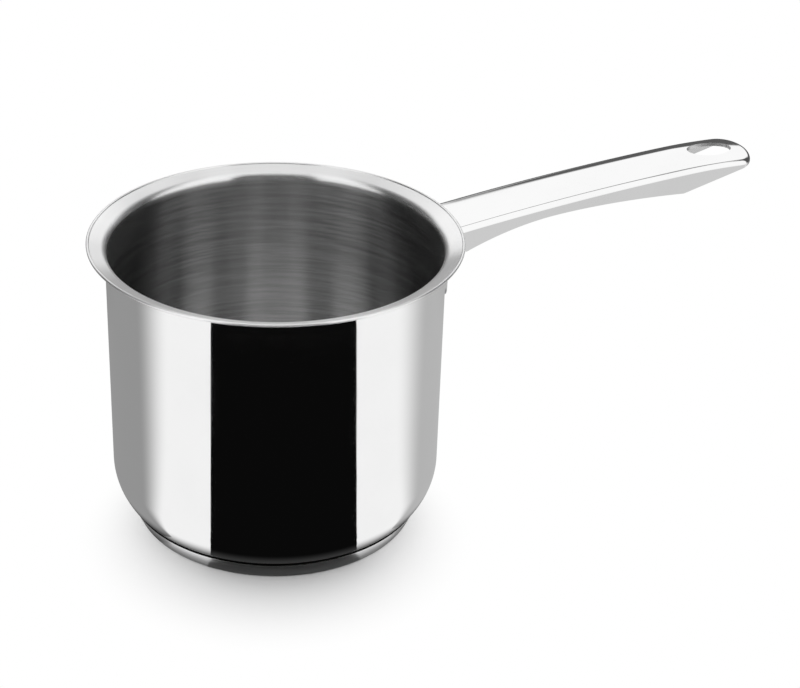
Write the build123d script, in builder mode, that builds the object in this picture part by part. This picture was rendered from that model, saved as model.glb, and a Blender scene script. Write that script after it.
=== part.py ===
from build123d import *
import os
from math import cos, radians, sin, sqrt, tan

# Milk pan with an encapsulated base and a long pressed-sheet handle.
# Millimetres. The origin is the centre of the base's underside, +Z is up,
# and the handle points along +X.

# Shell: one drawn sheet with a straight wall, a rounded corner and a flared pouring lip
inner_diameter = 140.0
shell_sheet = 0.7
pan_height = 128.5
lip_overhang = 7.6
lip_rise_angle = 17.0
lip_bend_radius = 2.65
lip_edge_diameter = 1.3
corner_radius = 25.6
corner_angle = 42.0
heel_radius = 5.0

# Base: an aluminium disc closed in by a pressed cap
cap_sheet = 0.6
core_thickness = 6.5
core_side_clearance = 0.05
cap_bottom_inset = 10.1
cap_top_inset = 6.3
cap_height = 8.6
cap_edge_radius = 1.6
groove_size = 1.0

# Handle: an open channel of sheet with a crowned top and deep side skirts
handle_sheet = 1.5
handle_width = 28.0
handle_reach = 152.5
handle_rise = 16.2
crest_bow = 1.9
tip_droop = 3.0
droop_run = 36.0
shoulder_radius = 2.6
root_crown = 0.6
grip_crown = 3.2
tip_crown = 1.2
crown_power = 1.2
tip_length = 9.0
root_skirt_depth = 14.6
waist_skirt_depth = 7.0
corner_skirt_depth = 12.7
tip_skirt_depth = 2.2
skirt_power = 1.57
waist_distance = 47.0
skirt_corner_distance = 37.6
skirt_corner_radius = 2.5
lip_clearance = 0.29
root_gap = 0.1

# Hanging hole near the tip of the handle
hole_length = 20.6
hole_width = 13.0
hole_distance = 18.3
hole_edge_radius = 0.6

# Bracket: a saddle plate on the wall, with two cheeks folded out into the handle's channel
bracket_sheet = 1.6
bracket_width = 44.4
bracket_height = 24.9
bracket_top_margin = 1.0
bracket_top_corner = 4.0
bracket_bottom_corner = 8.0
cheek_length = 14.0
cheek_clearance = 0.1
cheek_drop = 4.2
cheek_margin = 1.5

# Welds: round plugs from the plate to the wall, and a bead along each skirt's end
plug_diameter = 4.0
plug_dish = 0.2
wing_plug_offset = 18.6
wing_plug_drops = (5.4, 13.9)
lower_plug_offset = 8.0
lower_plug_drop = 19.4
bead_radius = 1.3
bead_margin = 1.0

overrun = 5.0
quarter_turn = 90.0

# Levels and radii that follow from the sizes above
outer_radius = inner_diameter / 2 + shell_sheet
seat_height = cap_sheet + core_thickness
corner_cos = cos(radians(corner_angle))
lip_sin = sin(radians(lip_rise_angle))
lip_cos = cos(radians(lip_rise_angle))
lip_edge_radius = lip_edge_diameter / 2
lip_edge_reach = outer_radius + lip_overhang - lip_edge_radius
lip_edge_height = pan_height - lip_edge_radius
wall_middle = outer_radius - shell_sheet / 2
bend_middle = lip_bend_radius + shell_sheet / 2
lip_turn = quarter_turn - lip_rise_angle
lip_root_height = lip_edge_height - (lip_edge_reach - wall_middle) * tan(radians(lip_rise_angle))
bend_start_height = lip_root_height - bend_middle * tan(radians(lip_turn / 2))
saddle_radius = outer_radius + bracket_sheet
under_lip_rise = sqrt(lip_bend_radius**2 - (lip_bend_radius - bracket_sheet) ** 2)
crest_root_height = bend_start_height + under_lip_rise - lip_clearance
handle_tip_x = outer_radius + handle_reach
handle_run = handle_tip_x - saddle_radius
half_width = handle_width / 2
bracket_top_height = bend_start_height - bracket_top_margin
bracket_bottom_height = bracket_top_height - bracket_height


def meridian(inset):
    """Draw the shell's half section, inset from its outer surface, and return its last edge."""
    wall_radius = outer_radius - inset
    floor_height = seat_height + inset
    heel = heel_radius - inset
    corner = corner_radius - inset
    floor_radius = wall_radius - corner * (1 - corner_cos) - heel * corner_cos
    side_step = inset - shell_sheet / 2
    lip_end = (lip_edge_reach - side_step * lip_sin, lip_edge_height + side_step * lip_cos)
    floor = Line((0, floor_height), (floor_radius, floor_height))
    heel_arc = JernArc(floor @ 1, (1, 0), heel, quarter_turn - corner_angle)
    corner_arc = JernArc(heel_arc @ 1, heel_arc % 1, corner, corner_angle)
    wall = Line(corner_arc @ 1, (wall_radius, bend_start_height))
    bend_arc = JernArc(wall @ 1, (0, 1), lip_bend_radius + inset, -lip_turn)
    return Line(bend_arc @ 1, lip_end)


# The shell
with BuildPart() as pan_body:
    with BuildSketch(Plane.XZ):
        with BuildLine():
            outside_lip = meridian(0)
            inside_lip = meridian(shell_sheet)
            Line(outside_lip @ 1, inside_lip @ 1)
            Line((0, seat_height), (0, seat_height + shell_sheet))
        make_face()
        with Locations((lip_edge_reach, lip_edge_height)):
            Circle(lip_edge_radius)
    revolve(axis=Axis.Z)
pan_body.part.label = "pan_body"

# The space that the shell takes up, down to its floor, for trimming what lies against it
with BuildPart() as shell_space:
    with BuildSketch(Plane.XZ):
        with BuildLine():
            space_lip = meridian(0)
            Line(space_lip @ 1, (0, lip_edge_height))
            Line((0, lip_edge_height), (0, seat_height))
        make_face()
    revolve(axis=Axis.Z)

# The base cap: a shallow cup with a sloping side, and a groove where it meets the shell
cap_bottom_radius = outer_radius - cap_bottom_inset
cap_top_radius = outer_radius - cap_top_inset
cap_slope = (cap_top_radius - cap_bottom_radius) / cap_height
cap_side_step = cap_sheet * sqrt(1 + cap_slope**2)


def cap_inner_radius(height):
    return cap_bottom_radius + cap_slope * height - cap_side_step


with BuildPart() as base_cap:
    with BuildSketch(Plane.XZ):
        with BuildLine():
            Polyline(
                (0, 0),
                (cap_bottom_radius, 0),
                (cap_top_radius, cap_height),
                (cap_inner_radius(cap_height), cap_height),
                (cap_inner_radius(cap_sheet), cap_sheet),
                (0, cap_sheet),
                close=True,
            )
        make_face()
    revolve(axis=Axis.Z)
    rolled_edge = base_cap.edges().filter_by(GeomType.CIRCLE).group_by(Axis.Z)[0]
    fillet(rolled_edge, cap_edge_radius)
    add(shell_space.part, mode=Mode.SUBTRACT)
    with BuildSketch(Plane.XZ):
        with Locations((cap_top_radius - groove_size / 2, cap_height)):
            Rectangle(groove_size, groove_size)
    revolve(axis=Axis.Z, mode=Mode.SUBTRACT)
base_cap.part.label = "base_cap"

# The base core: a solid disc that fills the cap up to the shell's floor
with BuildPart() as base_core:
    with BuildSketch(Plane.XZ):
        with BuildLine():
            Polyline(
                (0, cap_sheet),
                (cap_inner_radius(cap_sheet) - cap_edge_radius, cap_sheet),
                (cap_inner_radius(cap_sheet + cap_edge_radius) - core_side_clearance,
                 cap_sheet + cap_edge_radius),
                (cap_inner_radius(seat_height) - core_side_clearance, seat_height),
                (0, seat_height),
                close=True,
            )
        make_face()
    revolve(axis=Axis.Z)
    add(shell_space.part, mode=Mode.SUBTRACT)
base_core.part.label = "base_core"


def run_share(x):
    """How far x lies along the handle, from 0 at the saddle to 1 at the tip."""
    return max((x - saddle_radius) / handle_run, 0)


def tip_share(x):
    """How far x lies along the drooping end, from 0 at its start to 1 at the tip."""
    return max((x - handle_tip_x + droop_run) / droop_run, 0)


def crest_height(x):
    """Height of the handle's middle line: a shallow bow that droops towards the tip."""
    along = (x - saddle_radius) / handle_run
    bowed = crest_root_height + handle_rise * along + 4 * crest_bow * along * (1 - along)
    return bowed - tip_droop * tip_share(x) ** 2


def crown_height(x):
    """How far the middle of the top stands above its shoulders, growing to the grip and fading at the tip."""
    grown = root_crown + (grip_crown - root_crown) * run_share(x) ** crown_power
    return grown - (grip_crown - tip_crown) * min(tip_share(x), 1) ** 2


waist_x = saddle_radius + waist_distance
skirt_steps = 8
skirt_corner_x = handle_tip_x - skirt_corner_distance


def skirt_depth(x):
    """Depth of the skirts below the crest, least at the waist."""
    if x < waist_x:
        back = (waist_x - x) / waist_distance
        return waist_skirt_depth + (root_skirt_depth - waist_skirt_depth) * back**2
    ahead = (x - waist_x) / (skirt_corner_x - waist_x)
    return waist_skirt_depth + (corner_skirt_depth - waist_skirt_depth) * ahead**skirt_power


block_start_x = outer_radius - overrun
block_end_x = handle_tip_x + overrun
block_foot = crest_root_height - root_skirt_depth - overrun
block_steps = 8


def crowned_section(x, drop):
    """One upright section of the handle's block, its crowned top lowered by drop."""
    top = crest_height(x) - drop
    reach = half_width + overrun
    side = top - crown_height(x) * (reach / half_width) ** 2
    with BuildSketch(Plane(origin=(x, 0, 0), x_dir=(0, 1, 0), z_dir=(1, 0, 0))) as section:
        with BuildLine():
            Polyline((reach, side), (reach, block_foot), (-reach, block_foot), (-reach, side))
            ThreePointArc((-reach, side), (0, top), (reach, side))
        make_face()
    return section.sketch


def handle_block(inset):
    """The handle's form as a solid block, inset from its outer surface by a sheet's thickness."""
    straight_end_x = handle_tip_x - tip_length
    block_step = (block_end_x - block_start_x) / block_steps
    stations = [block_start_x + block_step * count for count in range(block_steps + 1)]
    with BuildPart() as block:
        loft([crowned_section(x, inset) for x in stations])
        with BuildSketch(Plane.XY.offset(block_foot)):
            with Locations(((block_start_x + straight_end_x) / 2, 0)):
                Rectangle(straight_end_x - block_start_x, handle_width - 2 * inset)
            with Locations((straight_end_x, 0)):
                Ellipse(tip_length - inset, half_width - inset)
        extrude(amount=pan_height, mode=Mode.INTERSECT)
        top_rim = block.faces().sort_by(Axis.Z)[-1].edges().sort_by(Axis.X)
        fillet(top_rim[1:], shoulder_radius - inset)
    return block.part


channel_space = handle_block(handle_sheet)

with BuildPart() as handle:
    add(handle_block(0))
    add(channel_space, mode=Mode.SUBTRACT)
    # Keep what is above the skirts' lower edge
    with BuildSketch(Plane.XZ) as skirt_view:
        with BuildLine():
            shares = [step / skirt_steps for step in range(skirt_steps + 1)]
            stations = [block_start_x + (skirt_corner_x - block_start_x) * share for share in shares]
            lower_edge = Spline([(x, crest_height(x) - skirt_depth(x)) for x in stations])
            tip_foot = crest_height(handle_tip_x) - tip_skirt_depth
            corner_foot = crest_height(skirt_corner_x) - corner_skirt_depth
            cut_slope = (tip_foot - corner_foot) / skirt_corner_distance
            sky = crest_root_height + handle_rise + overrun
            Polyline(
                lower_edge @ 1,
                (block_end_x, tip_foot + cut_slope * overrun),
                (block_end_x, sky),
                (block_start_x, sky),
                lower_edge @ 0,
            )
        make_face()
        fillet(skirt_view.vertices().sort_by_distance((skirt_corner_x, corner_foot))[0], skirt_corner_radius)
    extrude(amount=handle_width, both=True, mode=Mode.INTERSECT)
    # The pan's end follows the saddle plate
    with BuildSketch(Plane.XY):
        Circle(saddle_radius + root_gap)
    extrude(amount=pan_height + handle_rise + overrun, mode=Mode.SUBTRACT)
    # The hanging hole
    hole_x = handle_tip_x - hole_distance
    with BuildSketch(Plane.XY.offset(crest_root_height)):
        with Locations((hole_x, 0)):
            Ellipse(hole_length / 2, hole_width / 2)
    extrude(amount=handle_rise + overrun, mode=Mode.SUBTRACT)
    hole_edges = handle.edges(Select.LAST).filter_by(GeomType.LINE, reverse=True)
    hole_rim = hole_edges.sort_by(Axis.Z)[-1]
    fillet(hole_rim, hole_edge_radius)
handle.part.label = "handle"

# Where the plate is welded to the wall: two plugs on each wing and two below the channel
plug_places = [(lower_plug_offset, lower_plug_drop), (-lower_plug_offset, lower_plug_drop)]
for drop in wing_plug_drops:
    plug_places += [(wing_plug_offset, drop), (-wing_plug_offset, drop)]


def plug_plane(offset_y, drop):
    """A plane on the saddle's face at a plug, facing out from the pan."""
    out_x = sqrt(saddle_radius**2 - offset_y**2)
    return Plane(
        origin=(out_x, offset_y, bracket_top_height - drop),
        x_dir=(0, 0, 1),
        z_dir=(out_x, offset_y, 0),
    )


plug_planes = [plug_plane(offset_y, drop) for offset_y, drop in plug_places]

# The bracket
cheek_face = half_width - handle_sheet - cheek_clearance
cheek_end_x = saddle_radius + cheek_length
cheek_root_foot = crest_root_height - root_skirt_depth + cheek_margin
cheek_end_foot = crest_height(cheek_end_x) - skirt_depth(cheek_end_x) + cheek_margin
cheek_inner_x = outer_radius - bracket_sheet

with BuildPart() as handle_bracket:
    with BuildSketch(Plane.XY.offset(bracket_bottom_height)):
        Circle(saddle_radius)
    extrude(amount=bracket_height)
    with BuildSketch(Plane.YZ) as plate_view:
        with Locations((0, bracket_bottom_height + bracket_height / 2)):
            Rectangle(bracket_width, bracket_height)
        fillet(plate_view.vertices().group_by(Axis.Y)[0], bracket_bottom_corner)
        fillet(plate_view.vertices().group_by(Axis.Y)[-1], bracket_top_corner)
    extrude(amount=saddle_radius + overrun, mode=Mode.INTERSECT)
    with BuildSketch(Plane.XZ.offset(-cheek_face)):
        with BuildLine():
            Polyline(
                (cheek_inner_x, cheek_root_foot),
                (saddle_radius, cheek_root_foot),
                (cheek_end_x, cheek_end_foot),
                (cheek_end_x, crest_height(cheek_end_x) - cheek_drop),
                (saddle_radius, crest_root_height - cheek_drop),
                (cheek_inner_x, crest_root_height - cheek_drop),
                close=True,
            )
        make_face()
    cheek = extrude(amount=bracket_sheet)
    mirror(cheek, about=Plane.XZ)
    with BuildSketch(Plane.XY):
        Circle(outer_radius)
    extrude(amount=pan_height, mode=Mode.SUBTRACT)
    with Locations(plug_planes):
        Cylinder(plug_diameter / 2, 4 * bracket_sheet, mode=Mode.SUBTRACT)
handle_bracket.part.label = "handle_bracket"

# The plugs stop a little below the plate's face
with BuildPart() as wall_welds:
    with Locations(plug_planes):
        Cylinder(plug_diameter / 2, 4 * bracket_sheet)
    with BuildSketch(Plane.XY.offset(bracket_bottom_height)):
        Circle(saddle_radius - plug_dish)
        Circle(outer_radius, mode=Mode.SUBTRACT)
    extrude(amount=bracket_height, mode=Mode.INTERSECT)
wall_welds.part.label = "wall_welds"

# The beads lie in the corners between the skirts' outer faces and the plate
bead_foot = crest_root_height - root_skirt_depth + bead_margin
bead_top = bracket_top_height - bead_margin
bead_x = sqrt(saddle_radius**2 - half_width**2)
with BuildPart() as handle_welds:
    with BuildSketch(Plane.XY.offset(bead_foot)):
        with Locations((bead_x, half_width), (bead_x, -half_width)):
            Circle(bead_radius)
        Circle(saddle_radius, mode=Mode.SUBTRACT)
        with Locations((bead_x, 0)):
            Rectangle(handle_width, handle_width, mode=Mode.SUBTRACT)
    extrude(amount=bead_top - bead_foot)
handle_welds.part.label = "handle_welds"

# Export
os.makedirs("parts", exist_ok=True)
for piece in (pan_body, base_cap, base_core, handle, handle_bracket, wall_welds, handle_welds):
    export_step(piece.part, f"parts/{piece.part.label}.step")
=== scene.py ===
from math import asin, atan2, cos, degrees, pi, radians, sin, sqrt, tan

import bmesh
import bpy
from mathutils import Matrix, Vector


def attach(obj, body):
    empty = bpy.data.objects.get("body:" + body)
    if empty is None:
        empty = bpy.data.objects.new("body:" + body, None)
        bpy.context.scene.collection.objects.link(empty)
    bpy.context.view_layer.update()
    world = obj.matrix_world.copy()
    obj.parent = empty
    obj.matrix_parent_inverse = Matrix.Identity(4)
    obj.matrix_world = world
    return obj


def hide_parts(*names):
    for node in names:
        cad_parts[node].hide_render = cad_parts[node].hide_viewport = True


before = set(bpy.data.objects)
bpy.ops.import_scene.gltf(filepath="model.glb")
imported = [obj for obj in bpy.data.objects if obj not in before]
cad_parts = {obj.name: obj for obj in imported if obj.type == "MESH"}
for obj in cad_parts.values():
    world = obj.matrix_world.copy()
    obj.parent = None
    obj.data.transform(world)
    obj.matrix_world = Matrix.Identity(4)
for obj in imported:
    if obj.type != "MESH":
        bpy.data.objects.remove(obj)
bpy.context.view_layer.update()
bpy.context.scene.view_settings.view_transform = "Standard"
millimetre = 0.001  # every size below is in millimetres, and each finished mesh is scaled to metres

# The camera that fits the photo's ellipses, in millimetres and degrees
photoCamera = {
    "standAngle": -19.91,
    "standDistance": 713.8,
    "height": 467.0,
    "heading": 21.78,
    "pitch": 28.6,
    "roll": 1.04,
    "lens": 85.8,
    "sensor": 36.0,
    "sideShift": 0.0869,
    "upShift": 0.0006,
}


def makeCamera(look):
    camera = bpy.data.objects.new("camera", bpy.data.cameras.new("camera"))
    bpy.context.scene.collection.objects.link(camera)
    stand = radians(look["standAngle"])
    eye = Vector((sin(stand), -cos(stand), 0)) * look["standDistance"] + Vector((0, 0, look["height"]))
    turn = Matrix.Rotation(-radians(look["heading"]), 4, "Z")
    tilt = Matrix.Rotation(pi / 2 - radians(look["pitch"]), 4, "X")
    roll = Matrix.Rotation(radians(look["roll"]), 4, "Z")
    camera.matrix_world = Matrix.Translation(eye * millimetre) @ turn @ tilt @ roll
    camera.data.lens = look["lens"]
    camera.data.sensor_width = look["sensor"]
    camera.data.shift_x = look["sideShift"]
    camera.data.shift_y = look["upShift"]
    bpy.context.scene.camera = camera


makeCamera(photoCamera)
print("camera done")


# Node helpers: a value is a number or another node's socket
def join(tree, socket, value):
    if isinstance(value, bpy.types.NodeSocket):
        tree.links.new(value, socket)
    else:
        socket.default_value = value


def calc(tree, operation, *values):
    node = tree.nodes.new("ShaderNodeMath")
    node.operation = operation
    for socket, value in zip(node.inputs, values):
        join(tree, socket, value)
    return node.outputs[0]


def fade(tree, value, start, end, low=0.0, high=1.0):
    node = tree.nodes.new("ShaderNodeMapRange")
    node.interpolation_type = "SMOOTHSTEP"
    names = ("Value", "From Min", "From Max", "To Min", "To Max")
    for name, setting in zip(names, (value, start, end, low, high)):
        join(tree, node.inputs[name], setting)
    return node.outputs["Result"]


def blendTones(tree, share, first, second):
    node = tree.nodes.new("ShaderNodeMix")
    for name, setting in zip(("Factor", "A", "B"), (share, first, second)):
        join(tree, node.inputs[name], setting)
    return node.outputs["Result"]


def clamp(tree, value, low, high):
    return calc(tree, "MINIMUM", calc(tree, "MAXIMUM", value, low), high)


def combine(tree, x, y, z):
    node = tree.nodes.new("ShaderNodeCombineXYZ")
    for socket, value in zip(node.inputs, (x, y, z)):
        join(tree, socket, value)
    return node.outputs[0]


def split(tree, vector):
    node = tree.nodes.new("ShaderNodeSeparateXYZ")
    tree.links.new(vector, node.inputs[0])
    return tuple(node.outputs)


def noise(tree, vector, scale, detail=2.0, rough=0.5):
    node = tree.nodes.new("ShaderNodeTexNoise")
    for name, setting in zip(("Vector", "Scale", "Detail", "Roughness"), (vector, scale, detail, rough)):
        join(tree, node.inputs[name], setting)
    return node.outputs[0]


def newGroup(name, inputs, outputs):
    group = bpy.data.node_groups.new(name, "ShaderNodeTree")
    for socketName, value in inputs.items():
        socket = group.interface.new_socket(socketName, in_out="INPUT", socket_type="NodeSocketFloat")
        socket.default_value = value
    for socketName in outputs:
        group.interface.new_socket(socketName, in_out="OUTPUT", socket_type="NodeSocketFloat")
    return group, group.nodes.new("NodeGroupInput").outputs, group.nodes.new("NodeGroupOutput").inputs


# The turned lines: how many cross a metre, how fast they change around, the share of the broad ones, the
# least distance from the axis in metres, and the noise levels between which one fades in
turnedShape = {
    "fineLines": 2800.0, "fineAround": 1.5, "broadLines": 750.0, "broadShare": 0.6, "leastReach": 0.0005,
    "levels": (0.35, 0.65),
}


# Lines round the pan's axis, as turning or spinning leaves them
def makeTurnedLines(shape):
    group, given, made = newGroup("turnedLines", {"Fineness": 1.0, "Streaks": 1.0}, ("Lines",))
    x, y, z = split(group, group.nodes.new("ShaderNodeTexCoord").outputs["Object"])
    square = calc(group, "ADD", calc(group, "MULTIPLY", x, x), calc(group, "MULTIPLY", y, y))
    reach = calc(group, "MAXIMUM", calc(group, "SQRT", square), shape["leastReach"])
    across = calc(group, "MULTIPLY", calc(group, "ADD", z, reach), given["Fineness"])
    around = (calc(group, "DIVIDE", x, reach), calc(group, "DIVIDE", y, reach))
    layers = []
    for change, count in ((shape["fineAround"], shape["fineLines"]), (given["Streaks"], shape["broadLines"])):
        turned = [calc(group, "MULTIPLY", value, change) for value in around]
        layers.append(noise(group, combine(group, *turned, calc(group, "MULTIPLY", across, count)), 1.0))
    lines = blendTones(group, shape["broadShare"], *layers)
    group.links.new(fade(group, lines, *shape["levels"]), made["Lines"])
    return group


# The hairlines: their three directions, how many there are in a metre along and across them, and the noise
# levels between which one fades in
hairlineShape = {
    "turns": ((0.3, 0.2, 0.5), (1.1, 0.7, 2.1), (0.6, 1.9, 1.2)), "scale": (25.0, 4000.0, 4000.0),
    "levels": (0.72, 0.78),
}


# Sparse hairline scratches, as wiping leaves them on polish
def makeHairlines(shape):
    group, given, made = newGroup("hairlines", {"Density": 1.0}, ("Hairlines",))
    where = group.nodes.new("ShaderNodeTexCoord").outputs["Object"]
    total = 0.0
    for turn in shape["turns"]:
        mapping = group.nodes.new("ShaderNodeMapping")
        mapping.inputs["Rotation"].default_value = turn
        mapping.inputs["Scale"].default_value = shape["scale"]
        group.links.new(where, mapping.inputs["Vector"])
        lines = fade(group, noise(group, mapping.outputs[0], 1.0, 1.0), *shape["levels"])
        total = calc(group, "ADD", total, lines)
    group.links.new(calc(group, "MULTIPLY", total, given["Density"]), made["Hairlines"])
    return group


# The handling marks: how many patches cross a metre, their noise's detail and grain, and its levels
handlingShape = {"patches": 38.0, "detail": 4.0, "grain": 0.55, "levels": (0.35, 0.75)}


# Soft patches where hands and cloths have been
def makeHandling(shape):
    group, given, made = newGroup("handling", {"Size": 1.0}, ("Patches",))
    where = group.nodes.new("ShaderNodeTexCoord").outputs["Object"]
    count = calc(group, "DIVIDE", shape["patches"], given["Size"])
    patches = noise(group, where, count, shape["detail"], shape["grain"])
    group.links.new(fade(group, patches, *shape["levels"]), made["Patches"])
    return group


turnedLines = makeTurnedLines(turnedShape)
hairlines = makeHairlines(hairlineShape)
handling = makeHandling(handlingShape)
bumpUnit = 0.00001  # the finishes' depths count in hundredths of a millimetre
brushTurn = 0.25  # of a full turn: the brushed finishes spread their highlights across the lines


def place(tree, group, **values):
    node = tree.nodes.new("ShaderNodeGroup")
    node.node_tree = group
    for name, value in values.items():
        node.inputs[name].default_value = value
    return node.outputs[0]


def addScaled(tree, value, change, amount):
    return calc(tree, "ADD", value, calc(tree, "MULTIPLY", change, amount))


# Inside the pan the wall's colour is darkened as painted shade, and the wall is lined, up to the first level,
# and the lip is plain above the second
def makeDepth(tree, levels):
    _, _, z = split(tree, tree.nodes.new("ShaderNodeTexCoord").outputs["Object"])
    return fade(tree, z, *[level * millimetre for level in levels], 1.0, 0.0)


def makeSteel(name, finish):
    material = bpy.data.materials.new(name)
    material.use_nodes = True
    tree = material.node_tree
    shader = tree.nodes["Principled BSDF"]
    shader.inputs["Metallic"].default_value = 1.0
    if finish.get("anisotropy"):
        shader.inputs["Anisotropic"].default_value = finish["anisotropy"]
        shader.inputs["Anisotropic Rotation"].default_value = brushTurn
        around = tree.nodes.new("ShaderNodeTangent")
        around.direction_type = "RADIAL"
        around.axis = "Z"
        tree.links.new(around.outputs[0], shader.inputs["Tangent"])

    patches = place(tree, handling, Size=finish.get("patchSize", 1.0))
    hairs = place(tree, hairlines, Density=finish.get("hairDensity", 1.0))
    rough = addScaled(tree, finish["roughness"], patches, finish["patchRoughness"])
    rough = addScaled(tree, rough, hairs, finish["hairRoughness"])
    height = calc(tree, "MULTIPLY", hairs, -finish["hairDepth"])
    shade = addScaled(tree, 1.0, patches, -finish["patchShade"])
    lineShare = 1.0
    if finish.get("paintedInsideShade"):
        deep = makeDepth(tree, finish["deepLevels"])
        # The inside wall's colour is darkened under the lip: painted shade
        shade = addScaled(tree, shade, deep, finish["paintedInsideShade"] - 1)
        rough = addScaled(tree, rough, calc(tree, "SUBTRACT", 1.0, deep), finish["lipRoughness"])
        lineShare = addScaled(tree, finish["lipLines"], deep, 1 - finish["lipLines"])
    if finish.get("lineDepth"):
        lines = place(tree, turnedLines, Fineness=finish["lineFineness"], Streaks=finish["lineStreaks"])
        lines = calc(tree, "MULTIPLY", calc(tree, "SUBTRACT", lines, 0.5), lineShare)
        height = addScaled(tree, height, lines, finish["lineDepth"])
        rough = addScaled(tree, rough, lines, finish["lineRoughness"])
        shade = addScaled(tree, shade, lines, finish["lineShade"])

    tree.links.new(rough, shader.inputs["Roughness"])
    tint = tree.nodes.new("ShaderNodeVectorMath")
    tint.operation = "SCALE"
    tint.inputs[0].default_value = finish["colour"]
    tree.links.new(shade, tint.inputs["Scale"])
    tree.links.new(tint.outputs[0], shader.inputs["Base Color"])
    bump = tree.nodes.new("ShaderNodeBump")
    bump.inputs["Strength"].default_value = 1.0
    bump.inputs["Distance"].default_value = bumpUnit
    tree.links.new(height, bump.inputs["Height"])
    tree.links.new(bump.outputs[0], shader.inputs["Normal"])
    return material


# Roughness runs from 0 to 1, and each Depth is a height in bump units
mirrorFinish = {
    "colour": (0.93, 0.93, 0.93), "roughness": 0.035, "patchRoughness": 0.02, "patchShade": 0.015,
    "hairRoughness": 0.03, "hairDepth": 0.05,
}
innerFinish = {
    "colour": (0.97, 0.97, 0.97), "roughness": 0.19, "patchRoughness": 0.03, "patchShade": 0.02,
    "hairRoughness": 0.02, "hairDepth": 0.05, "hairDensity": 0.0, "anisotropy": 1.0,
    "lineFineness": 1.0, "lineStreaks": 2.5, "lineDepth": 0.018, "lineRoughness": 0.04, "lineShade": 0.13,
    # Under the lip the inside wall's colour is scaled by the first value below: painted shade
    "paintedInsideShade": 0.66, "deepLevels": (121.0, 126.0), "lipRoughness": 0.09, "lipLines": 0.15,
}
capFinish = {
    "colour": (0.86, 0.86, 0.86), "roughness": 0.32, "patchRoughness": 0.02, "patchShade": 0.02,
    "hairRoughness": 0.03, "hairDepth": 0.05, "hairDensity": 0.3, "anisotropy": 0.6,
    "lineFineness": 1.2, "lineStreaks": 2.0, "lineDepth": 0.3, "lineRoughness": 0.1, "lineShade": 0.1,
}
handleFinish = {
    "colour": (0.95, 0.95, 0.95), "roughness": 0.04, "patchRoughness": 0.03, "patchShade": 0.02,
    "hairRoughness": 0.05, "hairDepth": 0.08,
}
channelFinish = {
    "colour": (0.78, 0.78, 0.78), "roughness": 0.24, "patchRoughness": 0.08, "patchShade": 0.05,
    "hairRoughness": 0.05, "hairDepth": 0.2,
}
# The bracket is the channel's finish with a darker colour: painted shade for the bracket under the handle's
# root
bracketPaintedShadeFinish = {**channelFinish, "colour": (0.5, 0.5, 0.5)}
weldFinish = {
    "colour": (0.6, 0.59, 0.58), "roughness": 0.36, "patchRoughness": 0.15, "patchShade": 0.2,
    "patchSize": 0.12, "hairRoughness": 0.05, "hairDepth": 0.4,
}
coreFinish = {
    "colour": (0.82, 0.82, 0.83), "roughness": 0.42, "patchRoughness": 0.1, "patchShade": 0.05,
    "hairRoughness": 0.05, "hairDepth": 0.3,
}
# Near-black steel in the groove between the pan and its cap: painted shade for the shadow in the narrow
# crevice
paintedGrooveShadeFinish = {
    "colour": (0.03, 0.03, 0.029), "roughness": 0.5, "patchRoughness": 0.1, "patchShade": 0.3,
    "patchSize": 0.2, "hairRoughness": 0.05, "hairDepth": 0.2,
}
paintedGrooveShadeSteel = makeSteel("paintedGrooveShadeSteel", paintedGrooveShadeFinish)
mirrorSteel = makeSteel("mirrorSteel", mirrorFinish)
innerSteel = makeSteel("innerSteel", innerFinish)
capSteel = makeSteel("capSteel", capFinish)
handleSteel = makeSteel("handleSteel", handleFinish)
channelSteel = makeSteel("channelSteel", channelFinish)
bracketPaintedShadeSteel = makeSteel("bracketPaintedShadeSteel", bracketPaintedShadeFinish)
weldSteel = makeSteel("weldSteel", weldFinish)
coreAluminium = makeSteel("coreAluminium", coreFinish)
print("materials done")


sharpAngle = radians(40)  # spun edges that turn by more than this stay sharp
joinGap = 1e-4  # vertices nearer than this are one


# Mesh helpers
def arc(centre, radius, start, end, count):
    angles = [radians(start + (end - start) * step / count) for step in range(count + 1)]
    return [(centre[0] + radius * cos(a), centre[1] + radius * sin(a)) for a in angles]


def makePiece(name, mesh, slot, materials, *nodes):
    mesh.transform(Matrix.Scale(millimetre, 4))
    piece = bpy.data.objects.new(name, mesh)
    bpy.context.scene.collection.objects.link(piece)
    for material in materials:
        mesh.materials.append(material)
    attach(piece, "root")
    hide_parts(*nodes)
    return piece


# Turns an outline of (reach, height, material) points into a closed body round the pan's axis
def spin(name, outline, turns):
    body = bmesh.new()
    rings = []
    angles = [2 * pi * step / turns for step in range(turns)]
    for reach, height, _ in outline:
        rings.append([body.verts.new((reach * cos(a), reach * sin(a), height)) for a in angles])
    for (lower, upper), (_, _, look) in zip(zip(rings, rings[1:] + rings[:1]), outline):
        for step in range(turns):
            corners = (lower[step], lower[(step + 1) % turns], upper[(step + 1) % turns], upper[step])
            face = body.faces.new(corners)
            face.material_index = look
            face.smooth = True
    bmesh.ops.remove_doubles(body, verts=body.verts, dist=joinGap)
    bmesh.ops.dissolve_degenerate(body, edges=body.edges, dist=joinGap)
    bmesh.ops.recalc_face_normals(body, faces=body.faces)
    for edge in body.edges:
        edge.smooth = len(edge.link_faces) < 2 or edge.calc_face_angle(0) < sharpAngle
    mesh = bpy.data.meshes.new(name)
    body.to_mesh(mesh)
    body.free()
    return mesh


# Pan body: one sheet, with its outline read up the outside, round the lip's edge and down the inside
panShape = {
    "wallRadius": 70.7, "sheet": 0.7, "seatHeight": 7.1, "rimHeight": 128.5, "lipOverhang": 7.565,
    "lipRise": 17.0, "lipBend": 2.65, "edgeRadius": 0.65, "cornerRadius": 25.6, "cornerAngle": 42.0,
    "heelRadius": 5.0, "grooveTop": 9.0, "turns": 320, "heelSteps": 8, "cornerSteps": 16, "wallSteps": 24,
    "bendSteps": 12, "edgeSteps": 20,
}


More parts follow.
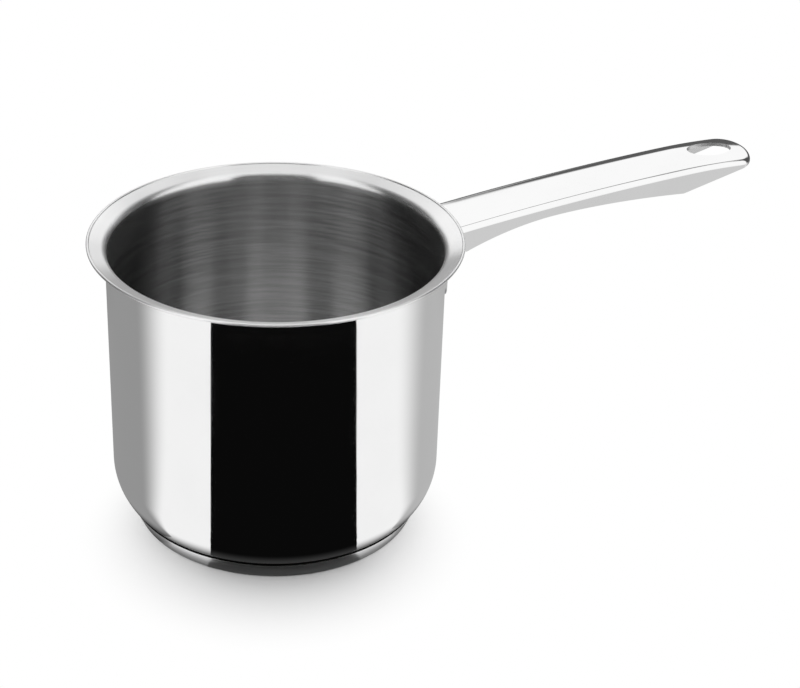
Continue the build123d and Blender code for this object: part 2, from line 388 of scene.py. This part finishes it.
# Centre of the lip's turned edge, and the height where the wall starts to bend outwards
def panLevels(shape):
    rise = radians(shape["lipRise"])
    edgeReach = shape["wallRadius"] + shape["lipOverhang"] - shape["edgeRadius"]
    edgeHeight = shape["rimHeight"] - shape["edgeRadius"]
    middle = shape["wallRadius"] - shape["sheet"] / 2
    root = edgeHeight - (edgeReach - middle) * tan(rise)
    turn = (pi / 2 - rise) / 2
    return edgeReach, edgeHeight, root - (shape["lipBend"] + shape["sheet"] / 2) * tan(turn)


# One face of the sheet, from the middle of the floor to the lip's edge: inset 0 is the outer face
def sheetLine(shape, inset):
    edgeReach, edgeHeight, bendStart = panLevels(shape)
    wall = shape["wallRadius"] - inset
    heel = shape["heelRadius"] - inset
    corner = shape["cornerRadius"] - inset
    lean = radians(shape["cornerAngle"])
    floor = shape["seatHeight"] + inset
    flatReach = wall - corner * (1 - cos(lean)) - heel * cos(lean)
    cornerHeight = floor + heel + (corner - heel) * sin(lean)
    bend = shape["lipBend"] + inset
    rise = shape["lipRise"]
    halfSheet = shape["sheet"] / 2
    back = sqrt(shape["edgeRadius"] ** 2 - halfSheet**2)
    side = inset - halfSheet
    ahead = (cos(radians(rise)), sin(radians(rise)))
    line = [(0, floor), (flatReach * 0.5, floor)]
    line += arc((flatReach, floor + heel), heel, -90, -shape["cornerAngle"], shape["heelSteps"])
    line += arc((wall - corner, cornerHeight), corner, -shape["cornerAngle"], 0, shape["cornerSteps"])[1:]
    for step in range(1, shape["wallSteps"]):
        line.append((wall, cornerHeight + (bendStart - cornerHeight) * step / shape["wallSteps"]))
    line += arc((wall + bend, bendStart), bend, 180, 90 + rise, shape["bendSteps"])
    endReach = edgeReach - back * ahead[0] - side * ahead[1]
    line.append((endReach, edgeHeight - back * ahead[1] + side * ahead[0]))
    return line


# Materials: 0 mirror outside, 1 satin inside and on the lip's edge, 2 near-black in the groove, which is
# painted shade
def makePanBody(shape):
    outside = sheetLine(shape, 0)
    inside = sheetLine(shape, shape["sheet"])
    edgeReach, edgeHeight, _ = panLevels(shape)
    gape = degrees(asin(shape["sheet"] / 2 / shape["edgeRadius"]))
    start = 180 + gape + shape["lipRise"]
    end = 540 - gape + shape["lipRise"]
    bead = arc((edgeReach, edgeHeight), shape["edgeRadius"], start, end, shape["edgeSteps"])[1:-1]
    # Below the groove's top the outside gets the groove's near-black steel: painted shade
    polished = [(*point, 2 if point[1] < shape["grooveTop"] else 0) for point in outside]
    polished += [(*point, 1) for point in bead]
    brushed = [(*point, 1) for point in reversed(inside)]
    mesh = spin("panBody", polished + brushed, shape["turns"])
    return makePiece("panBody", mesh, "shell_steel", (mirrorSteel, innerSteel, paintedGrooveShadeSteel), "pan_body")


makePanBody(panShape)
print("pan body done")

# Base cap: the pressed cup under the pan. Its brim is coloured near-black where it meets the narrow groove,
# as painted shade
capShape = {
    "footRadius": 60.6, "slope": 0.4419, "edgeRadius": 1.6, "brimHeight": 8.1, "brimSoftness": 0.25,
    "brimWidth": 0.9, "sheet": 0.6, "turns": 320, "footSteps": 8, "brimSteps": 4,
}


def makeBaseCap(shape):
    lean = degrees(atan2(shape["slope"], 1))
    radius = shape["edgeRadius"]
    start = shape["footRadius"] - radius * tan(radians((90 - lean) / 2))
    foot = arc((start, radius), radius, -90, -lean, shape["footSteps"])
    brimReach = shape["footRadius"] + shape["slope"] * shape["brimHeight"]
    soft = shape["brimSoftness"]
    brim = arc((brimReach - soft, shape["brimHeight"] - soft), soft, 0, 90, shape["brimSteps"])
    back = [
        (brimReach - shape["brimWidth"], shape["brimHeight"]),
        (shape["footRadius"] - shape["sheet"], shape["sheet"]),
        (0, shape["sheet"]),
    ]
    satin = [(0, 0), (start * 0.5, 0)] + foot + brim[:1]
    outline = [(*point, 0) for point in satin] + [(*point, 1) for point in brim[1:] + back]
    mesh = spin("baseCap", outline, shape["turns"])
    return makePiece("baseCap", mesh, "cap_steel", (capSteel, paintedGrooveShadeSteel), "base_cap")


makeBaseCap(capShape)
print("base cap done")

# Handle: the pressed sheet, modelled as its outer face and then given its thickness
handleShape = {
    "rootRadius": 72.4, "saddleRadius": 72.3, "tipReach": 223.17, "halfWidth": 14.0, "tipLength": 9.0,
    "sheet": 1.5, "crestRoot": 125.5, "rise": 16.2, "bow": 1.9, "droop": 3.0, "droopRun": 36.0,
    "rootCrown": 0.6, "gripCrown": 3.2, "tipCrown": 1.2, "crownPower": 1.2, "shoulder": 2.6,
    "rootSkirt": 14.6, "waistSkirt": 7.0, "cornerSkirt": 12.7, "tipSkirt": 2.2, "skirtPower": 1.57,
    "waistRun": 47.0, "cornerBack": 37.6, "leastSkirt": 0.35, "holeReach": 204.9, "holeLength": 21.2,
    "holeWidth": 13.6, "ringBack": 6.0, "ringPower": 1.5,
}
handleSteps = {"along": 84, "across": 16, "beside": 16, "tip": 40, "rings": 10, "skirt": 8, "shoulder": 9}


def handleShare(shape, x):
    return (x - shape["saddleRadius"]) / (shape["tipReach"] - shape["saddleRadius"])


def tipShare(shape, x):
    return max((x - shape["tipReach"] + shape["droopRun"]) / shape["droopRun"], 0)


def crest(shape, x):
    along = handleShare(shape, x)
    bowed = shape["crestRoot"] + shape["rise"] * along + 4 * shape["bow"] * along * (1 - along)
    return bowed - shape["droop"] * tipShare(shape, x) ** 2


def topHeight(shape, x, y):
    along = max(handleShare(shape, x), 0)
    crown = shape["rootCrown"] + (shape["gripCrown"] - shape["rootCrown"]) * along ** shape["crownPower"]
    crown -= (shape["gripCrown"] - shape["tipCrown"]) * min(tipShare(shape, x), 1) ** 2
    return crest(shape, x) - crown * (y / shape["halfWidth"]) ** 2


# The skirt's lower edge: deep at the pan, a waist, deeper again up to the corner, then cut to the tip
def skirtFoot(shape, x):
    waist = shape["saddleRadius"] + shape["waistRun"]
    corner = shape["tipReach"] - shape["cornerBack"]
    waistFoot = crest(shape, x) - shape["waistSkirt"]
    if x < waist:
        back = (waist - x) / shape["waistRun"]
        return waistFoot - (shape["rootSkirt"] - shape["waistSkirt"]) * back**2
    if x < corner:
        ahead = ((x - waist) / (corner - waist)) ** shape["skirtPower"]
        return waistFoot - (shape["cornerSkirt"] - shape["waistSkirt"]) * ahead
    cornerFoot = crest(shape, corner) - shape["cornerSkirt"]
    tipFoot = crest(shape, shape["tipReach"]) - shape["tipSkirt"]
    return cornerFoot + (tipFoot - cornerFoot) * (x - corner) / shape["cornerBack"]


# Where the top's straight rows end and the rings round the hole begin
def ringStart(shape):
    return shape["holeReach"] - shape["holeLength"] / 2 - shape["ringBack"]


def runPoint(shape, share, y):
    start = sqrt(shape["rootRadius"] ** 2 - y * y)
    return start + share * (ringStart(shape) - start), y


# Stations round the plan outline, near side first: a share of the run from the root, or else a fixed point,
# and the direction out of the handle
def makeStations(shape, steps):
    half = shape["halfWidth"]
    start = ringStart(shape)
    straightEnd = shape["tipReach"] - shape["tipLength"]
    shares = [step / steps["along"] for step in range(steps["along"] + 1)]
    pitch = (straightEnd - start) / steps["beside"]
    beside = [start + pitch * step for step in range(1, steps["beside"] + 1)]
    stations = [(share, None, (0, -1)) for share in shares]
    stations += [(None, (x, -half), (0, -1)) for x in beside]
    for step in range(1, steps["tip"]):
        angle = -pi / 2 + pi * step / steps["tip"]
        point = (straightEnd + shape["tipLength"] * cos(angle), half * sin(angle))
        out = Vector((cos(angle) / shape["tipLength"], sin(angle) / half)).normalized()
        stations.append((None, point, tuple(out)))
    stations += [(None, (x, half), (0, 1)) for x in reversed(beside)]
    return stations + [(share, None, (0, 1)) for share in reversed(shares)]


def planPoint(shape, station, inset):
    share, point, out = station
    if point is None:
        return runPoint(shape, share, out[1] * (shape["halfWidth"] - inset))
    return point[0] - out[0] * inset, point[1] - out[1] * inset


# One column of the side, from the skirt's foot up and over the shoulder to the edge of the top
def sideColumn(shape, steps, station):
    shoulder = shape["shoulder"]
    x, y = planPoint(shape, station, 0)
    top = topHeight(shape, *planPoint(shape, station, shoulder))
    foot = min(skirtFoot(shape, x), top - shoulder - shape["leastSkirt"])
    rise = top - shoulder - foot
    column = [(x, y, foot + rise * row / steps["skirt"]) for row in range(steps["skirt"])]
    for row in range(steps["shoulder"] + 1):
        bend = pi / 2 * row / steps["shoulder"]
        inset = shoulder * (1 - cos(bend))
        column.append((*planPoint(shape, station, inset), top - shoulder * (1 - sin(bend))))
    return column


def bridge(body, rows, closed=False):
    for near, far in zip(rows, rows[1:]):
        for step in range(len(near) if closed else len(near) - 1):
            after = (step + 1) % len(near)
            body.faces.new((near[step], far[step], far[after], near[after]))


def makeHandle(shape, steps):
    body = bmesh.new()
    stations = makeStations(shape, steps)
    columns = [sideColumn(shape, steps, station) for station in stations]
    bridge(body, [[body.verts.new(point) for point in column] for column in columns])

    def onTop(x, y):
        return body.verts.new((x, y, topHeight(shape, x, y)))

    # The top as far as the hole: straight rows across
    reach = shape["halfWidth"] - shape["shoulder"]
    levels = [-reach + 2 * reach * cross / steps["across"] for cross in range(steps["across"] + 1)]
    shares = [step / steps["along"] for step in range(steps["along"] + 1)]
    bridge(body, [[onTop(*runPoint(shape, share, y)) for y in levels] for share in shares])

    # The top round the hole: rings from the shoulder's edge in to the hole
    ahead = stations[steps["along"]:-steps["along"]]
    outline = [planPoint(shape, station, shape["shoulder"]) for station in ahead]
    outline += [(ringStart(shape), y) for y in reversed(levels[1:-1])]
    halfLength = shape["holeLength"] / 2
    halfHole = shape["holeWidth"] / 2
    rings = []
    for step in range(steps["rings"] + 1):
        share = 1 - (1 - step / steps["rings"]) ** shape["ringPower"]
        ring = []
        for x, y in outline:
            angle = atan2(y / halfHole, (x - shape["holeReach"]) / halfLength)
            edgeX = shape["holeReach"] + halfLength * cos(angle)
            edgeY = halfHole * sin(angle)
            ring.append(onTop(x + (edgeX - x) * share, y + (edgeY - y) * share))
        rings.append(ring)
    bridge(body, rings, closed=True)

    bmesh.ops.remove_doubles(body, verts=body.verts, dist=joinGap)
    for face in body.faces:
        face.smooth = True
    for edge in body.edges:
        edge.smooth = not edge.is_boundary
    bmesh.ops.recalc_face_normals(body, faces=body.faces)
    if sum(face.normal.z for face in body.faces) < 0:
        bmesh.ops.reverse_faces(body, faces=body.faces)
    mesh = bpy.data.meshes.new("handle")
    body.to_mesh(mesh)
    body.free()

    piece = makePiece("handleSheet", mesh, "handle_steel", (handleSteel, channelSteel), "handle")
    thicken = piece.modifiers.new("thickness", "SOLIDIFY")
    thicken.thickness = shape["sheet"] * millimetre
    thicken.offset = -1
    thicken.use_even_offset = True
    thicken.use_quality_normals = True
    thicken.material_offset = 1
    thicken.material_offset_rim = 1
    return piece


makeHandle(handleShape, handleSteps)
print("handle done")

# CAD nodes that stay as they are get their finishes
for node, material in (
    ("base_core", coreAluminium),
    ("handle_bracket", bracketPaintedShadeSteel),
    ("wall_welds", weldSteel),
    ("handle_welds", weldSteel),
):
    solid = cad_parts[node]
    solid.data.materials.clear()
    solid.data.materials.append(material)
print("kept nodes done")

# The room that the steel mirrors. Heading turns its axes. Turns are degrees to the right of straight behind
# the pan, and heights are degrees up. Between its two turns each slant moves the low band's top, in degrees
# for each degree of turn
studio = {
    "heading": 20.0, "backdropHalf": 46.0, "backdropSoft": 8.0, "backdropTone": 1.0, "sideTone": 0.08,
    "lowTone": 0.1, "lowTop": 13.5, "lowSoft": 1.5,
    "lowSlants": ((-2, 8, 1.3), (10, 15, -1.3), (-13, -5, -1.3)),
    "rooms": ((-104.0, -151.5), (88.0, 149.0)), "roomSoft": (5.0, 1.0), "roomTone": 1.0,
    "overheadFade": (56.0, 58.0), "overheadTone": 1.0,
    "gapTone": 0.3, "gapHeights": (57.0, 67.0), "gapTurns": (-70.0, 70.0), "gapSoft": (1.0, 5.0),
}


# Distances to the right, away from the camera and up, in axes turned by the heading
def studioAxes(tree, vector, heading):
    x, y, z = split(tree, vector)
    turn = radians(heading)
    right = addScaled(tree, calc(tree, "MULTIPLY", x, cos(turn)), y, -sin(turn))
    away = addScaled(tree, calc(tree, "MULTIPLY", x, sin(turn)), y, cos(turn))
    return right, away, z


def between(tree, value, low, high, soft):
    rise = fade(tree, value, low - soft, low + soft)
    return calc(tree, "MULTIPLY", rise, fade(tree, value, high + soft, high - soft))


# Only glossy rays see the room, and the camera and diffuse rays see plain white
def makeWorld(look):
    world = bpy.data.worlds.new("studio")
    bpy.context.scene.world = world
    world.use_nodes = True
    tree = world.node_tree
    background = tree.nodes["Background"]
    background.inputs["Color"].default_value = (1, 1, 1, 1)
    direction = tree.nodes.new("ShaderNodeTexCoord").outputs["Generated"]
    right, away, up = studioAxes(tree, direction, look["heading"])
    height = calc(tree, "DEGREES", calc(tree, "ARCSINE", up))
    turn = calc(tree, "DEGREES", calc(tree, "ARCTAN2", right, away))

    # The backdrop behind the pan, with a dark band low down, and darker sides
    above = calc(tree, "SUBTRACT", height, look["lowTop"])
    for start, end, slant in look["lowSlants"]:
        above = addScaled(tree, above, clamp(tree, turn, start, end), slant)
    seenAbove = fade(tree, above, -look["lowSoft"], look["lowSoft"])
    backdropTone = blendTones(tree, seenAbove, look["lowTone"], look["backdropTone"])
    backdrop = between(tree, turn, -look["backdropHalf"], look["backdropHalf"], look["backdropSoft"])
    tone = blendTones(tree, backdrop, look["sideTone"], backdropTone)

    # A bright room on each side, from a soft edge beside the pan to a crisp one near the camera
    softStart, softEnd = look["roomSoft"]
    for start, end in look["rooms"]:
        side = 1 if start > end else -1
        rise = fade(tree, turn, start + side * softStart, start - side * softStart)
        fall = fade(tree, turn, end - side * softEnd, end + side * softEnd)
        tone = blendTones(tree, calc(tree, "MULTIPLY", rise, fall), tone, look["roomTone"])

    # Bright overhead, apart from a gap above the backdrop
    tone = blendTones(tree, fade(tree, height, *look["overheadFade"]), tone, look["overheadTone"])
    softUp, softSide = look["gapSoft"]
    gap = between(tree, height, *look["gapHeights"], softUp)
    gap = calc(tree, "MULTIPLY", gap, between(tree, turn, *look["gapTurns"], softSide))
    tone = blendTones(tree, gap, tone, look["gapTone"])
    isGlossy = tree.nodes.new("ShaderNodeLightPath").outputs["Is Glossy Ray"]
    tree.links.new(blendTones(tree, isGlossy, 1.0, tone), background.inputs["Strength"])


makeWorld(studio)


def makeFlat(name, corners):
    mesh = bpy.data.meshes.new(name)
    mesh.from_pydata([Vector(corner) * millimetre for corner in corners], [], [tuple(range(len(corners)))])
    flat = bpy.data.objects.new(name, mesh)
    bpy.context.scene.collection.objects.link(flat)
    return flat


def makePlane(name, half, height):
    return makeFlat(name, [(x * half, y * half, height) for x, y in ((-1, -1), (1, -1), (1, 1), (-1, 1))])


# Millimetres from a centre on the floor, and the place itself
def floorReach(tree, centre=(0, 0, 0)):
    where = tree.nodes.new("ShaderNodeNewGeometry").outputs["Position"]
    length = tree.nodes.new("ShaderNodeVectorMath")
    length.operation = "DISTANCE"
    length.inputs[1].default_value = Vector(centre) * millimetre
    tree.links.new(where, length.inputs[0])
    return calc(tree, "DIVIDE", length.outputs["Value"], millimetre), where


def newMaterial(name):
    material = bpy.data.materials.new(name)
    material.use_nodes = True
    tree = material.node_tree
    tree.nodes.remove(tree.nodes["Principled BSDF"])
    return material, tree, tree.nodes["Material Output"].inputs["Surface"]


# The floor the camera sees: white paper with the pan's own soft shadow near it, which a painted fade into
# glowing white, centred in front of the pan, cuts short so that it falls forwards
floorPaper = {
    "half": 6000.0, "height": -0.02, "tone": 0.9,
    "shadowCentre": (-9.5, -26.3, 0), "shadowFade": (32.0, 86.0),
}


def makeFloor(look):
    floor = makePlane("floor", look["half"], look["height"])
    material, tree, surface = newMaterial("floorPaper")
    matt = tree.nodes.new("ShaderNodeBsdfDiffuse")
    matt.inputs["Color"].default_value = (look["tone"], look["tone"], look["tone"], 1)
    # Away from a centre in front of the pan the paper glows plain white, which paints out the shadow's outer
    # part
    lift = tree.nodes.new("ShaderNodeEmission")
    reach, _ = floorReach(tree, look["shadowCentre"])
    both = tree.nodes.new("ShaderNodeMixShader")
    tree.links.new(fade(tree, reach, *look["shadowFade"]), both.inputs[0])
    tree.links.new(matt.outputs[0], both.inputs[1])
    tree.links.new(lift.outputs[0], both.inputs[2])
    tree.links.new(both.outputs[0], surface)
    floor.data.materials.append(material)
    floor.visible_glossy = False


makeFloor(floorPaper)

# What only the steel mirrors: a floor that is pale near the pan, greyer at the sides and dark far behind,
# with a painted shadow close round the pan's base, a black cloth in front of the pan and a grey card under
# the handle. Plan places are in the studio's axes
mirrored = {
    "half": 6000.0, "height": -0.4, "tone": 0.95, "leftTone": 0.31, "rightTone": 0.48,
    "leftCorner": (-50, -45), "leftTurns": (-72, -108), "rightCorner": (57, -38), "rightTurns": (84, 124),
    "stripSoft": 8.0, "stripFade": (10.0, 45.0), "behindTone": 0.1, "behindFade": (120.0, 500.0),
    "paintedShadowTone": 0.1, "paintedShadowFade": (59.0, 75.0),
}
blackCloth = {
    "height": -0.2, "tone": 0.003, "paintedShadowTone": 0.04, "paintedShadowFade": (60.0, 72.0),
    "endFade": (298.0, 345.0),
    "edges": [
        (-27, -48), (-29.2, -54.3), (-31.7, -60.5), (-36.2, -68.5), (-45.3, -81.2), (-53.9, -91.9),
        (-81.6, -120.1), (-134.1, -176.2), (-236, -291), (-110, -360), (40, -375), (190, -325), (300, -257),
        (162.1, -148.4), (99.6, -103.4), (66.6, -81.6), (56.4, -73), (45.5, -62.2), (40, -55), (36.9, -49),
        (35, -44),
    ],
}
greyCard = {"tone": 0.62, "height": 92.0, "edges": [(115, -46), (180, -90), (400, -70), (400, 60), (115, 30)]}


def makeGlow(flat, tone=1.0):
    material, tree, surface = newMaterial(flat.name)
    glow = tree.nodes.new("ShaderNodeEmission")
    glow.inputs["Strength"].default_value = tone
    tree.links.new(glow.outputs[0], surface)
    flat.data.materials.append(material)
    flat.visible_camera = False
    flat.visible_diffuse = False
    flat.visible_shadow = False
    flat.visible_transmission = False
    return tree, glow.inputs["Strength"]


def makeCard(name, look):
    turn = radians(studio["heading"])
    turned = [(x * cos(turn) + y * sin(turn), y * cos(turn) - x * sin(turn)) for x, y in look["edges"]]
    return makeFlat(name, [(*point, look["height"]) for point in turned])


def makeMirroredFloor(look):
    tree, strength = makeGlow(makePlane("mirroredFloor", look["half"], look["height"]))
    reach, where = floorReach(tree)
    right, away, _ = studioAxes(tree, where, studio["heading"])
    right = calc(tree, "DIVIDE", right, millimetre)
    away = calc(tree, "DIVIDE", away, millimetre)

    # Degrees round a corner: 0 towards the camera, and more to the right
    def turnFrom(corner):
        ahead = calc(tree, "SUBTRACT", corner[1], away)
        sideways = calc(tree, "SUBTRACT", right, corner[0])
        return calc(tree, "DEGREES", calc(tree, "ARCTAN2", sideways, ahead))

    tone = look["tone"]
    for side in ("left", "right"):
        share = fade(tree, turnFrom(look[side + "Corner"]), *look[side + "Turns"])
        tone = blendTones(tree, share, tone, look[side + "Tone"])

    # Behind the pan the left tone runs into the right one, and farther back all of it darkens
    start = look["leftCorner"][0]
    end = look["rightCorner"][0]
    strip = between(tree, right, start - look["stripSoft"], end + look["stripSoft"], look["stripSoft"])
    strip = calc(tree, "MULTIPLY", strip, fade(tree, away, *look["stripFade"]))
    tone = blendTones(tree, strip, tone, fade(tree, right, start, end, look["leftTone"], look["rightTone"]))
    tone = blendTones(tree, fade(tree, away, *look["behindFade"]), tone, look["behindTone"])
    # Close round the pan's base the mirrored floor darkens: a painted shadow
    contact = fade(tree, reach, *look["paintedShadowFade"], look["paintedShadowTone"])
    tree.links.new(calc(tree, "MULTIPLY", tone, contact), strength)


def makeBlackCloth(look, farTone):
    tree, strength = makeGlow(makeCard("blackCloth", look))
    reach, _ = floorReach(tree)
    # Close to the pan's base the cloth takes the grey of a painted shadow on the floor instead of its black
    dark = fade(tree, reach, *look["paintedShadowFade"], look["paintedShadowTone"], look["tone"])
    tree.links.new(blendTones(tree, fade(tree, reach, *look["endFade"]), dark, farTone), strength)


makeMirroredFloor(mirrored)
makeBlackCloth(blackCloth, mirrored["tone"])
makeGlow(makeCard("greyCard", greyCard), greyCard["tone"])

# A weak lamp high behind the pan adds to the shadow in front of it
topLamp = {"place": (420, 380, 900), "size": 600.0, "power": 1.0}


def makeLamp(name, look):
    lamp = bpy.data.objects.new(name, bpy.data.lights.new(name, "AREA"))
    bpy.context.scene.collection.objects.link(lamp)
    lamp.location = Vector(look["place"]) * millimetre
    lamp.rotation_euler = Vector(look["place"]).to_track_quat("Z", "Y").to_euler()
    lamp.data.size = look["size"] * millimetre
    lamp.data.energy = look["power"]
    lamp.visible_glossy = False


makeLamp("topLamp", topLamp)
print("studio done")
